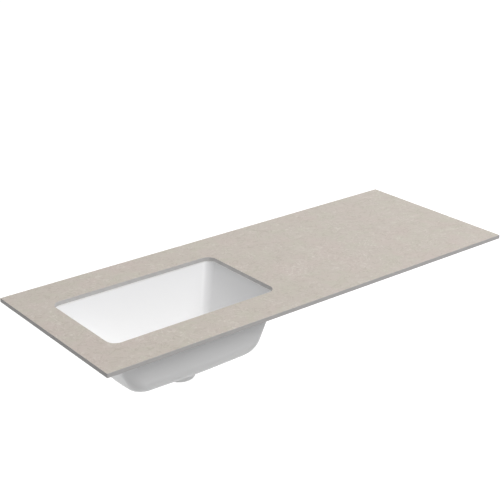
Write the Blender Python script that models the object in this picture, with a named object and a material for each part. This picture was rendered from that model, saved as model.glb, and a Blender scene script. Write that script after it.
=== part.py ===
"""Vanity top: a thin stone slab with a ceramic basin hung under a cut-out at its left end.

The origin is the centre of the slab's underside. +X runs along the slab, -Y is its front
and +Z is up. All lengths are in metres.
"""

import math

import bmesh
import bpy
from mathutils import Matrix, Vector

# Fits
TOUCH_GAP = 0.0003
CUT_OVERRUN = 0.002

# Slab
SLAB_LENGTH = 1.200
SLAB_DEPTH = 0.460
SLAB_THICKNESS = 0.010
SLAB_ARRIS = 0.0008
BASIN_PLACE_SHARE = -0.25

# Opening that the cut-out and the bowl share
OPENING_LENGTH = 0.450
OPENING_DEPTH = 0.260
OPENING_RADIUS = 0.024

# Sealant bead
BEAD_THICKNESS = 0.0014
BEAD_WIDTH = 0.0106
BEAD_SETBACK = 0.0004

# Basin
BASIN_WALL = 0.0105
BASIN_FLOOR = 0.011
BOWL_DEPTH = 0.1380
BOWL_FILLET = 0.033
RIM_WIDTH = 0.025
RIM_THICKNESS = 0.012
RIM_EASE = 0.0015
SIDE_DRAFT_SHARE = 0.485
FRONT_DRAFT_SHARE = 0.005
BACK_DRAFT_SHARE = 0.481
CORNER_GROWTH_SHARE = -0.032
FALL_SHARES = (0.025, 0.086)
FALL_EASE = 0.023

# Outlet in the basin
OUTLET_SETBACK = 0.050
OUTLET_HOLE_RADIUS = 0.023
OUTLET_RECESS_RADIUS = 0.034
OUTLET_RECESS_DEPTH = 0.0045
BOSS_RADIUS = 0.036
BOSS_LENGTH = 0.023
BOSS_EASE = 0.0035
BOSS_ROOT_EASE = 0.004
COUNTERBORE_RADIUS = 0.0295
COUNTERBORE_DEPTH = 0.012

# Rim clips and what holds them
STUD_RADIUS = 0.003
STUD_TAIL = 0.003
ANCHOR_RADIUS = 0.0045
ANCHOR_DEPTH = 0.0060
CLIP_WIDTH = 0.022
CLIP_PLATE = 0.003
CLIP_TOE = 0.010
CLIP_STUD_REACH = 0.011
CLIP_HEEL_REACH = 0.026
CLIP_BEND_EASE = 0.0015
CLIP_SPREAD = 0.140
PAD_THICKNESS = 0.0015
WASHER_RADIUS = 0.0065
WASHER_THICKNESS = 0.0016
NUT_ACROSS = 0.010
NUT_THICKNESS = 0.005

# Waste
FLANGE_RADIUS = 0.033
FLANGE_THICKNESS = 0.0025
FLANGE_EASE = 0.0008
SEAT_RADIUS = 0.024
SEAT_DROP = 0.0038
TAIL_RADIUS = 0.0205
TAIL_BORE = 0.017
TAIL_RISE = 0.0006
UPPER_SEAL_THICKNESS = 0.0012
LOWER_SEAL_THICKNESS = 0.0018
LOCK_NUT_RADIUS = 0.027
LOCK_NUT_THICKNESS = 0.007
HUB_RADIUS = 0.010
HUB_HEIGHT = 0.006
HUB_DROP = 0.0083
BAR_WIDTH = 0.0035

# Click mechanism
HOUSING_RADIUS = 0.0070
HOUSING_WALL = 0.0016
HOUSING_FLOOR = 0.0012
HOUSING_COLLAR = 0.0095
HOUSING_COLLAR_THICKNESS = 0.0010
HOUSING_RISE = 0.0057
HOUSING_LENGTH = 0.0192
SPRING_WIRE = 0.0007
SPRING_TURNS = 3
SPRING_LENGTH = 0.0048
RATCHET_THICKNESS = 0.0023
RATCHET_TOOTH = 0.0009
RATCHET_BORE = 0.0028
RATCHET_TEETH = 6

# Plug
CAP_RADIUS = 0.030
CAP_EDGE = 0.0025
CAP_DOME = 0.0010
DOME_SHARES = (0.67, 0.33)
CAP_EASE = 0.0010
CAP_CLEARANCE = 0.0004
CAP_BOSS_RADIUS = 0.007
CAP_BOSS_LENGTH = 0.0043
CAP_SKIN = 0.0027
SKIRT_RADIUS = 0.018
SKIRT_WALL = 0.0025
SKIRT_LENGTH = 0.0031
GASKET_WIDTH = 0.0043
PLUG_STEM_RADIUS = 0.003
PLUNGER_FOOT = 0.0045

# Facets
CORNER_STEPS = 6
SIDE_STEPS = 6
RING_COUNT = 4 * (CORNER_STEPS + SIDE_STEPS)
ROUND_COUNT = 36
SMALL_COUNT = 18
SMOOTH_ANGLE = math.radians(35)

# Places worked out from the sizes above, heights as z
BASIN_X = BASIN_PLACE_SHARE * SLAB_LENGTH
BEAD_TOP = -TOUCH_GAP
RIM_TOP = BEAD_TOP - BEAD_THICKNESS - TOUCH_GAP
RIM_FOOT = RIM_TOP - RIM_THICKNESS
FLOOR_TOP = RIM_TOP - BOWL_DEPTH
FLOOR_FOOT = FLOOR_TOP - BASIN_FLOOR
BOSS_FOOT = FLOOR_FOOT - BOSS_LENGTH
RECESS_Z = FLOOR_TOP - OUTLET_RECESS_DEPTH
COUNTERBORE_Z = BOSS_FOOT + COUNTERBORE_DEPTH
OUTLET = Vector((BASIN_X, -OUTLET_SETBACK, 0))

PAD_TOP = RIM_FOOT - TOUCH_GAP
CLIP_TOP = PAD_TOP - PAD_THICKNESS - TOUCH_GAP
CLIP_FOOT = CLIP_TOP - CLIP_PLATE
WASHER_TOP = CLIP_FOOT - TOUCH_GAP
NUT_TOP = WASHER_TOP - WASHER_THICKNESS - TOUCH_GAP
NUT_FOOT = NUT_TOP - NUT_THICKNESS
STUD_FOOT = NUT_FOOT - STUD_TAIL
STUD_BORE = STUD_RADIUS + TOUCH_GAP

UPPER_SEAL_FOOT = RECESS_Z + TOUCH_GAP
UPPER_SEAL_TOP = UPPER_SEAL_FOOT + UPPER_SEAL_THICKNESS
FLANGE_FOOT = UPPER_SEAL_TOP + TOUCH_GAP
FLANGE_TOP = FLANGE_FOOT + FLANGE_THICKNESS
SEAT_FOOT = FLANGE_TOP - SEAT_DROP
TAIL_FOOT = BOSS_FOOT + TAIL_RISE
LOWER_SEAL_TOP = COUNTERBORE_Z - TOUCH_GAP
LOCK_NUT_TOP = LOWER_SEAL_TOP - LOWER_SEAL_THICKNESS - TOUCH_GAP
HUB_TOP = SEAT_FOOT - HUB_DROP
HUB_BORE = HOUSING_RADIUS + TOUCH_GAP

COLLAR_FOOT = HUB_TOP + TOUCH_GAP
HOUSING_TOP = COLLAR_FOOT + HOUSING_RISE
HOUSING_FOOT = HOUSING_TOP - HOUSING_LENGTH
HOUSING_BORE = HOUSING_RADIUS - HOUSING_WALL
PLUNGER_RADIUS = HOUSING_BORE - TOUCH_GAP
SPRING_FOOT = HOUSING_FOOT + HOUSING_FLOOR + TOUCH_GAP
SPRING_RADIUS = PLUNGER_RADIUS - SPRING_WIRE
RATCHET_FOOT = SPRING_FOOT + SPRING_LENGTH + TOUCH_GAP
RATCHET_TOP = RATCHET_FOOT + RATCHET_THICKNESS
PLUNGER_BOTTOM = RATCHET_TOP + TOUCH_GAP

CAP_FOOT = FLANGE_TOP + CAP_CLEARANCE
CAP_SHOULDER = CAP_FOOT + CAP_EDGE
CAP_TOP = CAP_SHOULDER + CAP_DOME
CAP_BOSS_FOOT = CAP_FOOT - CAP_BOSS_LENGTH
STEM_BORE = PLUG_STEM_RADIUS + TOUCH_GAP
STEM_HOLE_TOP = CAP_TOP - CAP_SKIN
STEM_TOP = STEM_HOLE_TOP - TOUCH_GAP
PLUNGER_TOP = CAP_BOSS_FOOT - TOUCH_GAP
STEM_HOLE_FOOT = PLUNGER_BOTTOM + PLUNGER_FOOT
STEM_FOOT = STEM_HOLE_FOOT + TOUCH_GAP


def clear_scene():
    for old in list(bpy.data.objects):
        bpy.data.objects.remove(old, do_unlink=True)


def make_material(name, colour, roughness, metallic=0.0):
    material = bpy.data.materials.new(name)
    material.use_nodes = True
    shader = material.node_tree.nodes["Principled BSDF"]
    shader.inputs["Base Color"].default_value = (*colour, 1.0)
    shader.inputs["Roughness"].default_value = roughness
    shader.inputs["Metallic"].default_value = metallic
    return material


def make_object(name, bm, material, smooth=True, origin=None):
    """Turn a bmesh in world coordinates into an object, with its origin where it is asked."""
    bmesh.ops.recalc_face_normals(bm, faces=bm.faces[:])
    if origin is not None:
        bmesh.ops.translate(bm, verts=bm.verts[:], vec=-origin)
    mesh = bpy.data.meshes.new(name)
    bm.to_mesh(mesh)
    bm.free()
    if smooth:
        mesh.shade_smooth()
        mesh.set_sharp_from_angle(angle=SMOOTH_ANGLE)
    piece = bpy.data.objects.new(name, mesh)
    if material is not None:
        mesh.materials.append(material)
    if origin is not None:
        piece.location = origin
    bpy.context.scene.collection.objects.link(piece)
    return piece


def hide_tool(tool):
    tool.hide_render = True
    tool.display_type = "WIRE"


def add_boolean(piece, tool, operation="DIFFERENCE"):
    hide_tool(tool)
    modifier = piece.modifiers.new(tool.name, "BOOLEAN")
    modifier.operation = operation
    modifier.object = tool


def rounded_ring(half_x, front_y, back_y, radius, z):
    """Points of a rectangle with round corners, anticlockwise from its right side."""
    corners = (
        (half_x - radius, back_y - radius, 0),
        (-half_x + radius, back_y - radius, 90),
        (-half_x + radius, front_y + radius, 180),
        (half_x - radius, front_y + radius, 270),
    )
    arcs = []
    for centre_x, centre_y, start in corners:
        arc = []
        for step in range(CORNER_STEPS + 1):
            angle = math.radians(start + 90 * step / CORNER_STEPS)
            arc.append(Vector((centre_x + radius * math.cos(angle), centre_y + radius * math.sin(angle), z)))
        arcs.append(arc)
    points = []
    for index, arc in enumerate(arcs):
        following = arcs[(index + 1) % len(arcs)][0]
        points += arc
        points += [arc[-1].lerp(following, step / SIDE_STEPS) for step in range(1, SIDE_STEPS)]
    return points


def circle_ring(radius, z, count=ROUND_COUNT, centre=(0, 0), turn=0.0):
    points = []
    for index in range(count):
        angle = turn + math.tau * index / count
        points.append(Vector((centre[0] + radius * math.cos(angle), centre[1] + radius * math.sin(angle), z)))
    return points


def hexagon_ring(across, z, count, centre):
    """Points on a hexagon's outline at even angles, its six corners among them."""
    points = []
    for index in range(count):
        angle = math.tau * index / count
        from_middle = (angle % (math.tau / 6)) - math.tau / 12
        radius = across / 2 / math.cos(from_middle)
        points.append(Vector((centre[0] + radius * math.cos(angle), centre[1] + radius * math.sin(angle), z)))
    return points


def extrude_ring(bm, ring, points):
    """Extrude a closed ring of vertices and move the new ring onto its points."""
    edges = [bm.edges.get((ring[index - 1], ring[index])) for index in range(len(ring))]
    made = bmesh.ops.extrude_edge_only(bm, edges=edges)["geom"]
    fresh = {item for item in made if isinstance(item, bmesh.types.BMVert)}
    following = []
    for old, point in zip(ring, points):
        new = next(edge.other_vert(old) for edge in old.link_edges if edge.other_vert(old) in fresh)
        new.co = point
        following.append(new)
    return following


def add_loft(bm, rings, closed):
    """Skin rings of equally many points: closed joins the last to the first, open caps both ends."""
    ring = [bm.verts.new(point) for point in rings[0]]
    for index in range(len(ring)):
        bm.edges.new((ring[index - 1], ring[index]))
    first = ring
    for points in rings[1:]:
        ring = extrude_ring(bm, ring, points)
    if closed:
        for index in range(len(ring)):
            bm.faces.new((ring[index - 1], ring[index], first[index], first[index - 1]))
    else:
        bm.faces.new(first)
        bm.faces.new(ring)


def add_turned(bm, profile, closed, centre, count=ROUND_COUNT):
    """Turn a profile of (radius, z) points about a vertical axis."""
    add_loft(bm, [circle_ring(radius, z, count, centre) for radius, z in profile], closed)


def turned_object(name, profile, closed, material, centre=OUTLET, count=ROUND_COUNT, origin=None):
    bm = bmesh.new()
    add_turned(bm, profile, closed, centre, count)
    return make_object(name, bm, material, origin=origin)


def add_box(bm, size, centre):
    matrix = Matrix.Translation(centre) @ Matrix.Diagonal((*size, 1.0))
    return bmesh.ops.create_cube(bm, size=1.0, matrix=matrix)["verts"]


def clip_places():
    """Name, stud place and outward direction of each rim clip."""
    reach = OPENING_DEPTH / 2 + RIM_WIDTH + CLIP_STUD_REACH
    places = []
    for side, outward in (("front", -1), ("back", 1)):
        for end, along in (("left", -1), ("right", 1)):
            place = Vector((BASIN_X + along * CLIP_SPREAD, outward * reach, 0))
            places.append((side + "_" + end, place, Vector((0, outward, 0))))
    return places


def opening_ring(grow, z):
    """The opening's outline, moved outwards by grow, at a height."""
    half_x = OPENING_LENGTH / 2 + grow
    half_y = OPENING_DEPTH / 2 + grow
    ring = rounded_ring(half_x, -half_y, half_y, OPENING_RADIUS + grow, z)
    return [point + Vector((BASIN_X, 0, 0)) for point in ring]


def build_slab(material):
    bm = bmesh.new()
    add_box(bm, (SLAB_LENGTH, SLAB_DEPTH, SLAB_THICKNESS), Vector((0, 0, SLAB_THICKNESS / 2)))
    bmesh.ops.bevel(bm, geom=bm.edges[:], offset=SLAB_ARRIS, offset_type="OFFSET", segments=2,
                    profile=0.5, affect="EDGES", material=-1)
    slab = make_object("countertop_slab", bm, material)

    cut = bmesh.new()
    rings = (
        opening_ring(0, -CUT_OVERRUN),
        opening_ring(0, SLAB_THICKNESS - SLAB_ARRIS),
        opening_ring(SLAB_ARRIS + CUT_OVERRUN, SLAB_THICKNESS + CUT_OVERRUN),
    )
    add_loft(cut, rings, closed=False)
    add_boolean(slab, make_object("opening_tool", cut, None))

    hole_radius = ANCHOR_RADIUS + TOUCH_GAP
    for where, place, outward in clip_places():
        add_boolean(slab, turned_object("anchor_hole_tool_" + where, (
            (hole_radius, -CUT_OVERRUN),
            (hole_radius, ANCHOR_DEPTH + TOUCH_GAP),
        ), False, None, place, SMALL_COUNT))


def build_bead(material):
    """Sealant between the basin's rim and the slab, wiped almost flush with the opening."""
    bm = bmesh.new()
    inner = BEAD_SETBACK
    outer = BEAD_SETBACK + BEAD_WIDTH
    foot = BEAD_TOP - BEAD_THICKNESS
    rings = (opening_ring(inner, BEAD_TOP), opening_ring(inner, foot),
             opening_ring(outer, foot), opening_ring(outer, BEAD_TOP))
    add_loft(bm, rings, closed=True)
    make_object("sealant_bead", bm, material)


def wall_inset(depth, draft, floor_depth, fillet):
    """How far a drafted wall, rounded into a floor, has moved inwards at a depth."""
    slant = math.hypot(1, draft)
    centre_depth = floor_depth - fillet
    tangent_depth = centre_depth + fillet * draft / slant
    if depth <= tangent_depth:
        return draft * depth
    drop = depth - centre_depth
    return draft * centre_depth + fillet * slant - math.sqrt(max(fillet * fillet - drop * drop, 0))


def floor_lift(x, y):
    """How much higher the bowl's floor is at a place than at the outlet."""
    along = math.hypot(x, FALL_EASE) - FALL_EASE
    across = math.hypot(y + OUTLET_SETBACK, FALL_EASE) - FALL_EASE
    return FALL_SHARES[0] * along + FALL_SHARES[1] * across


def bowl_ring(depth, grow, floor_depth, fillet):
    """One ring of the bowl's inner face, or of its outer face where grow is the wall."""
    inset_x = wall_inset(depth, SIDE_DRAFT_SHARE, floor_depth, fillet)
    inset_front = wall_inset(depth, FRONT_DRAFT_SHARE, floor_depth, fillet)
    inset_back = wall_inset(depth, BACK_DRAFT_SHARE, floor_depth, fillet)
    radius = OPENING_RADIUS + grow + CORNER_GROWTH_SHARE * depth
    ring = rounded_ring(
        OPENING_LENGTH / 2 + grow - inset_x,
        -OPENING_DEPTH / 2 - grow + inset_front,
        OPENING_DEPTH / 2 + grow - inset_back,
        radius, 0)
    for point in ring:
        point.z = RIM_TOP - depth * (1 - floor_lift(point.x, point.y) / floor_depth)
        point.x += BASIN_X
    return ring


def bowl_rings(grow, floor_depth, fillet, first_depth):
    """Rings from a start on the wall down to where the fillet meets the floor."""
    fillet_angles = (0, 15, 30, 45, 58, 70, 80, 90)
    fillet_start = floor_depth - fillet
    depths = [first_depth, (first_depth + fillet_start) / 2]
    depths += [fillet_start + fillet * math.sin(math.radians(angle)) for angle in fillet_angles]
    return [bowl_ring(depth, grow, floor_depth, fillet) for depth in depths]


def floor_rings(outline, radius, floor_z):
    """Rings that carry the bowl's outline into a circle round the outlet, on a falling floor."""
    start = math.pi / 4 - math.tau * CORNER_STEPS / 2 / RING_COUNT
    circle = circle_ring(radius, 0, RING_COUNT, OUTLET, start)
    steps = 4
    rings = []
    for step in range(1, steps + 1):
        ring = []
        for edge, inner in zip(outline, circle):
            point = edge.lerp(inner, step / steps)
            point.z = floor_z + floor_lift(point.x - BASIN_X, point.y)
            ring.append(point)
        rings.append(ring)
    return rings


def outlet_ring(radius, z):
    start = math.pi / 4 - math.tau * CORNER_STEPS / 2 / RING_COUNT
    return circle_ring(radius, z, RING_COUNT, OUTLET, start)


def build_basin(material):
    """One skin: down the bowl, through the outlet, round the boss and up outside to the rim."""
    inner = bowl_rings(0, BOWL_DEPTH, BOWL_FILLET, 0)
    inner += floor_rings(inner[-1], OUTLET_RECESS_RADIUS, FLOOR_TOP)
    outlet = [
        outlet_ring(OUTLET_RECESS_RADIUS, RECESS_Z),
        outlet_ring(OUTLET_HOLE_RADIUS, RECESS_Z),
        outlet_ring(OUTLET_HOLE_RADIUS, COUNTERBORE_Z),
        outlet_ring(COUNTERBORE_RADIUS, COUNTERBORE_Z),
        outlet_ring(COUNTERBORE_RADIUS, BOSS_FOOT),
    ]
    for angle in (0, 30, 60, 90):
        turn = math.radians(angle)
        radius = BOSS_RADIUS - BOSS_EASE * (1 - math.sin(turn))
        outlet.append(outlet_ring(radius, BOSS_FOOT + BOSS_EASE * (1 - math.cos(turn))))

    outer_depth = BOWL_DEPTH + BASIN_FLOOR
    outer = bowl_rings(BASIN_WALL, outer_depth, BOWL_FILLET + BASIN_FLOOR, RIM_THICKNESS)
    root_radius = BOSS_RADIUS + BOSS_ROOT_EASE
    underside = floor_rings(outer[-1], root_radius, FLOOR_FOOT)
    root = []
    for angle in (0, 30, 60):
        turn = math.radians(angle)
        radius = root_radius - BOSS_ROOT_EASE * math.cos(turn)
        root.append(outlet_ring(radius, FLOOR_FOOT - BOSS_ROOT_EASE * (1 - math.sin(turn))))
    rim = [
        opening_ring(RIM_WIDTH - RIM_EASE, RIM_FOOT),
        opening_ring(RIM_WIDTH, RIM_FOOT + RIM_EASE),
        opening_ring(RIM_WIDTH, RIM_TOP - RIM_EASE),
        opening_ring(RIM_WIDTH - RIM_EASE, RIM_TOP),
    ]
    bm = bmesh.new()
    add_loft(bm, inner + outlet + root + underside[::-1] + outer[::-1] + rim, closed=True)
    make_object("basin", bm, material)


def build_clip_plate(where, place, outward, material):
    """A plate whose toe holds the basin's rim and whose turned-up heel bears on the slab."""
    toe = -CLIP_STUD_REACH - CLIP_TOE
    heel = CLIP_HEEL_REACH - CLIP_STUD_REACH
    outline = (
        (toe, CLIP_TOP),
        (toe, CLIP_FOOT),
        (heel, CLIP_FOOT),
        (heel, -TOUCH_GAP),
        (heel - CLIP_PLATE, -TOUCH_GAP),
        (heel - CLIP_PLATE, CLIP_TOP),
    )
    bm = bmesh.new()
    face = bm.faces.new([bm.verts.new((reach, -CLIP_WIDTH / 2, z)) for reach, z in outline])
    made = bmesh.ops.extrude_face_region(bm, geom=[face])["geom"]
    verts = [item for item in made if isinstance(item, bmesh.types.BMVert)]
    bmesh.ops.translate(bm, verts=verts, vec=(0, CLIP_WIDTH, 0))
    bends = [edge for edge in bm.edges
             if all(abs(vert.co.x - heel) < TOUCH_GAP and abs(vert.co.z - CLIP_FOOT) < TOUCH_GAP
                    for vert in edge.verts)]
    bmesh.ops.bevel(bm, geom=bends, offset=CLIP_BEND_EASE, offset_type="OFFSET", segments=3,
                    profile=0.5, affect="EDGES", material=-1)
    turn = Matrix.Rotation(math.atan2(outward.y, outward.x), 4, "Z")
    bmesh.ops.transform(bm, matrix=Matrix.Translation(place) @ turn, verts=bm.verts[:])
    plate = make_object("rim_clip_" + where, bm, material)
    add_boolean(plate, turned_object("clip_bore_tool_" + where, (
        (STUD_BORE, CLIP_FOOT - CUT_OVERRUN),
        (STUD_BORE, CLIP_TOP + CUT_OVERRUN),
    ), False, None, place, SMALL_COUNT))


def build_clip_set(where, place, outward, materials):
    """One clip with its pad, the anchor bonded into the slab, and the stud, washer and nut."""
    build_clip_plate(where, place, outward, materials["steel"])
    pad = bmesh.new()
    pad_middle = place - outward * (CLIP_STUD_REACH + CLIP_TOE / 2)
    add_box(pad, (CLIP_WIDTH, CLIP_TOE, PAD_THICKNESS), pad_middle + Vector((0, 0, PAD_TOP - PAD_THICKNESS / 2)))
    make_object("clip_pad_" + where, pad, materials["rubber"], smooth=False)
    turned_object("clip_anchor_" + where, (
        (ANCHOR_RADIUS, 0),
        (ANCHOR_RADIUS, ANCHOR_DEPTH),
        (STUD_BORE, ANCHOR_DEPTH),
        (STUD_BORE, 0),
    ), True, materials["brass"], place, SMALL_COUNT)
    turned_object("clip_stud_" + where, (
        (STUD_RADIUS, STUD_FOOT),
        (STUD_RADIUS, ANCHOR_DEPTH - TOUCH_GAP),
    ), False, materials["steel"], place, SMALL_COUNT)
    washer_foot = WASHER_TOP - WASHER_THICKNESS
    turned_object("clip_washer_" + where, (
        (WASHER_RADIUS, WASHER_TOP),
        (WASHER_RADIUS, washer_foot),
        (STUD_BORE, washer_foot),
        (STUD_BORE, WASHER_TOP),
    ), True, materials["steel"], place, SMALL_COUNT)
    nut = bmesh.new()
    add_loft(nut, (
        hexagon_ring(NUT_ACROSS, NUT_TOP, SMALL_COUNT, place),
        hexagon_ring(NUT_ACROSS, NUT_FOOT, SMALL_COUNT, place),
        circle_ring(STUD_BORE, NUT_FOOT, SMALL_COUNT, place),
        circle_ring(STUD_BORE, NUT_TOP, SMALL_COUNT, place),
    ), closed=True)
    make_object("clip_nut_" + where, nut, materials["steel"])


def build_waste(materials):
    seal_bore = TAIL_RADIUS + TOUCH_GAP
    body = turned_object("waste_body", (
        (FLANGE_RADIUS, FLANGE_FOOT),
        (FLANGE_RADIUS, FLANGE_TOP - FLANGE_EASE),
        (FLANGE_RADIUS - FLANGE_EASE, FLANGE_TOP),
        (SEAT_RADIUS, FLANGE_TOP),
        (TAIL_BORE, SEAT_FOOT),
        (TAIL_BORE, TAIL_FOOT),
        (TAIL_RADIUS, TAIL_FOOT),
        (TAIL_RADIUS, FLANGE_FOOT),
    ), True, materials["chrome"])

    spider = bmesh.new()
    add_turned(spider, ((HUB_RADIUS, HUB_TOP), (HUB_RADIUS, HUB_TOP - HUB_HEIGHT)), False, OUTLET)
    hub = make_object("hub_tool", spider, None)
    bars = bmesh.new()
    reach = TAIL_BORE + TAIL_RADIUS
    middle = OUTLET + Vector((0, 0, HUB_TOP - HUB_HEIGHT / 2))
    add_box(bars, (reach, BAR_WIDTH, HUB_HEIGHT), middle)
    bar_x = make_object("bar_x_tool", bars, None)
    bars = bmesh.new()
    add_box(bars, (BAR_WIDTH, reach, HUB_HEIGHT), middle)
    bar_y = make_object("bar_y_tool", bars, None)
    bore = turned_object("hub_bore_tool", (
        (HUB_BORE, HUB_TOP + CUT_OVERRUN),
        (HUB_BORE, HUB_TOP - HUB_HEIGHT - CUT_OVERRUN),
    ), False, None)
    for tool in (bar_x, bar_y, hub):
        add_boolean(body, tool, "UNION")
    add_boolean(body, bore)

    turned_object("waste_upper_seal", (
        (FLANGE_RADIUS - FLANGE_EASE, UPPER_SEAL_TOP),
        (FLANGE_RADIUS - FLANGE_EASE, UPPER_SEAL_FOOT),
        (OUTLET_HOLE_RADIUS, UPPER_SEAL_FOOT),
        (OUTLET_HOLE_RADIUS, UPPER_SEAL_TOP),
    ), True, materials["rubber"])
    turned_object("waste_lower_seal", (
        (LOCK_NUT_RADIUS, LOWER_SEAL_TOP),
        (LOCK_NUT_RADIUS, LOWER_SEAL_TOP - LOWER_SEAL_THICKNESS),
        (seal_bore, LOWER_SEAL_TOP - LOWER_SEAL_THICKNESS),
        (seal_bore, LOWER_SEAL_TOP),
    ), True, materials["rubber"])
    nut_foot = LOCK_NUT_TOP - LOCK_NUT_THICKNESS
    nut = bmesh.new()
    across = 2 * LOCK_NUT_RADIUS * math.cos(math.pi / 6)
    add_loft(nut, (
        hexagon_ring(across, LOCK_NUT_TOP, ROUND_COUNT, OUTLET),
        hexagon_ring(across, nut_foot, ROUND_COUNT, OUTLET),
        circle_ring(seal_bore, nut_foot, ROUND_COUNT, OUTLET),
        circle_ring(seal_bore, LOCK_NUT_TOP, ROUND_COUNT, OUTLET),
    ), closed=True)
    make_object("waste_lock_nut", nut, materials["brass"])


def build_click(materials):
    turned_object("click_housing", (
        (HOUSING_RADIUS, HOUSING_TOP),
        (HOUSING_RADIUS, COLLAR_FOOT + HOUSING_COLLAR_THICKNESS),
        (HOUSING_COLLAR, COLLAR_FOOT + HOUSING_COLLAR_THICKNESS),
        (HOUSING_COLLAR, COLLAR_FOOT),
        (HOUSING_RADIUS, COLLAR_FOOT),
        (HOUSING_RADIUS, HOUSING_FOOT),
        (SPRING_RADIUS - SPRING_WIRE, HOUSING_FOOT),
        (SPRING_RADIUS - SPRING_WIRE, HOUSING_FOOT + HOUSING_FLOOR),
        (HOUSING_BORE, HOUSING_FOOT + HOUSING_FLOOR),
        (HOUSING_BORE, HOUSING_TOP),
    ), True, materials["plastic"], count=SMALL_COUNT)

    ratchet = bmesh.new()
    valley = RATCHET_TOP - RATCHET_TOOTH
    crowns = []
    for radius in (PLUNGER_RADIUS, RATCHET_BORE):
        crown = circle_ring(radius, valley, SMALL_COUNT, OUTLET)
        for index, point in enumerate(crown):
            step = SMALL_COUNT // RATCHET_TEETH
            point.z += RATCHET_TOOTH * (index % step) / (step - 1)
        crowns.append(crown)
    add_loft(ratchet, (crowns[0], circle_ring(PLUNGER_RADIUS, RATCHET_FOOT, SMALL_COUNT, OUTLET),
                       circle_ring(RATCHET_BORE, RATCHET_FOOT, SMALL_COUNT, OUTLET), crowns[1]), closed=True)
    make_object("click_ratchet", ratchet, materials["plastic"], smooth=False, origin=OUTLET)

    turns = 12
    count = SPRING_TURNS * turns
    rise = SPRING_LENGTH - SPRING_WIRE
    curve = bpy.data.curves.new("click_spring", "CURVE")
    curve.dimensions = "3D"
    curve.bevel_depth = SPRING_WIRE / 2
    curve.bevel_resolution = 1
    curve.use_fill_caps = True
    spline = curve.splines.new("POLY")
    spline.points.add(count)
    for index, point in enumerate(spline.points):
        angle = math.tau * index / turns
        height = SPRING_FOOT + SPRING_WIRE / 2 + rise * index / count
        place = OUTLET + Vector((SPRING_RADIUS * math.cos(angle), SPRING_RADIUS * math.sin(angle), height))
        point.co = (*place, 1.0)
    curve.materials.append(materials["steel"])
    spring = bpy.data.objects.new("click_spring", curve)
    bpy.context.scene.collection.objects.link(spring)


def build_plug(materials):
    """The cap, its gasket, the stem and the plunger move together along the outlet's axis."""
    skirt_inner = SKIRT_RADIUS - SKIRT_WALL
    skirt_foot = CAP_FOOT - SKIRT_LENGTH
    cap = [
        (STEM_BORE, STEM_HOLE_TOP),
        (STEM_BORE, CAP_BOSS_FOOT),
        (CAP_BOSS_RADIUS, CAP_BOSS_FOOT),
        (CAP_BOSS_RADIUS, CAP_FOOT),
        (skirt_inner, CAP_FOOT),
        (skirt_inner, skirt_foot),
        (SKIRT_RADIUS, skirt_foot),
        (SKIRT_RADIUS, CAP_FOOT),
        (CAP_RADIUS - CAP_EASE, CAP_FOOT),
        (CAP_RADIUS, CAP_FOOT + CAP_EASE),
        (CAP_RADIUS, CAP_SHOULDER - CAP_EASE),
        (CAP_RADIUS - CAP_EASE, CAP_SHOULDER),
    ]
    for share in DOME_SHARES:
        cap.append(((CAP_RADIUS - CAP_EASE) * share, CAP_TOP - CAP_DOME * share * share))
    turned_object("plug_cap", cap, False, materials["chrome"], origin=OUTLET)

    seat_slope = SEAT_DROP / (SEAT_RADIUS - TAIL_BORE)
    gasket_inner = SKIRT_RADIUS + TOUCH_GAP
    gasket_outer = gasket_inner + GASKET_WIDTH
    gasket_top = CAP_FOOT - TOUCH_GAP
    lift = TOUCH_GAP * math.hypot(1, seat_slope)
    turned_object("plug_gasket", (
        (gasket_inner, gasket_top),
        (gasket_inner, FLANGE_TOP - seat_slope * (SEAT_RADIUS - gasket_inner) + lift),
        (gasket_outer, FLANGE_TOP - seat_slope * (SEAT_RADIUS - gasket_outer) + lift),
        (gasket_outer, gasket_top),
    ), True, materials["rubber"], origin=OUTLET)

    turned_object("plug_stem", (
        (PLUG_STEM_RADIUS, STEM_TOP),
        (PLUG_STEM_RADIUS, STEM_FOOT),
    ), False, materials["brass"], count=SMALL_COUNT, origin=OUTLET)
    turned_object("plug_plunger", (
        (STEM_BORE, STEM_HOLE_FOOT),
        (STEM_BORE, PLUNGER_TOP),
        (PLUNGER_RADIUS, PLUNGER_TOP),
        (PLUNGER_RADIUS, PLUNGER_BOTTOM),
    ), False, materials["plastic"], count=SMALL_COUNT, origin=OUTLET)


def main():
    clear_scene()
    materials = {
        "stone": make_material("stone", (0.57, 0.52, 0.46), 0.45),
        "ceramic": make_material("ceramic", (0.90, 0.90, 0.90), 0.08),
        "sealant": make_material("sealant", (0.80, 0.80, 0.78), 0.50),
        "steel": make_material("steel", (0.60, 0.61, 0.62), 0.35, 1.0),
        "brass": make_material("brass", (0.70, 0.52, 0.25), 0.30, 1.0),
        "chrome": make_material("chrome", (0.80, 0.81, 0.82), 0.08, 1.0),
        "rubber": make_material("rubber", (0.03, 0.03, 0.03), 0.70),
        "plastic": make_material("plastic", (0.85, 0.85, 0.83), 0.40),
    }
    build_slab(materials["stone"])
    build_bead(materials["sealant"])
    build_basin(materials["ceramic"])
    for where, place, outward in clip_places():
        build_clip_set(where, place, outward, materials)
    build_waste(materials)
    build_click(materials)
    build_plug(materials)


main()
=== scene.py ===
"""Vanity sink top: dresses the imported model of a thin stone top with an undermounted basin."""

from functools import cache, cached_property
from math import ceil, copysign, cos, floor, hypot, pi, radians, sin, sqrt, tan, tau

import bmesh
import bpy
from bpy.props import FloatProperty, FloatVectorProperty, IntProperty, PointerProperty
from bpy.types import Operator, Panel, PropertyGroup
from mathutils import Matrix, Vector


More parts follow.
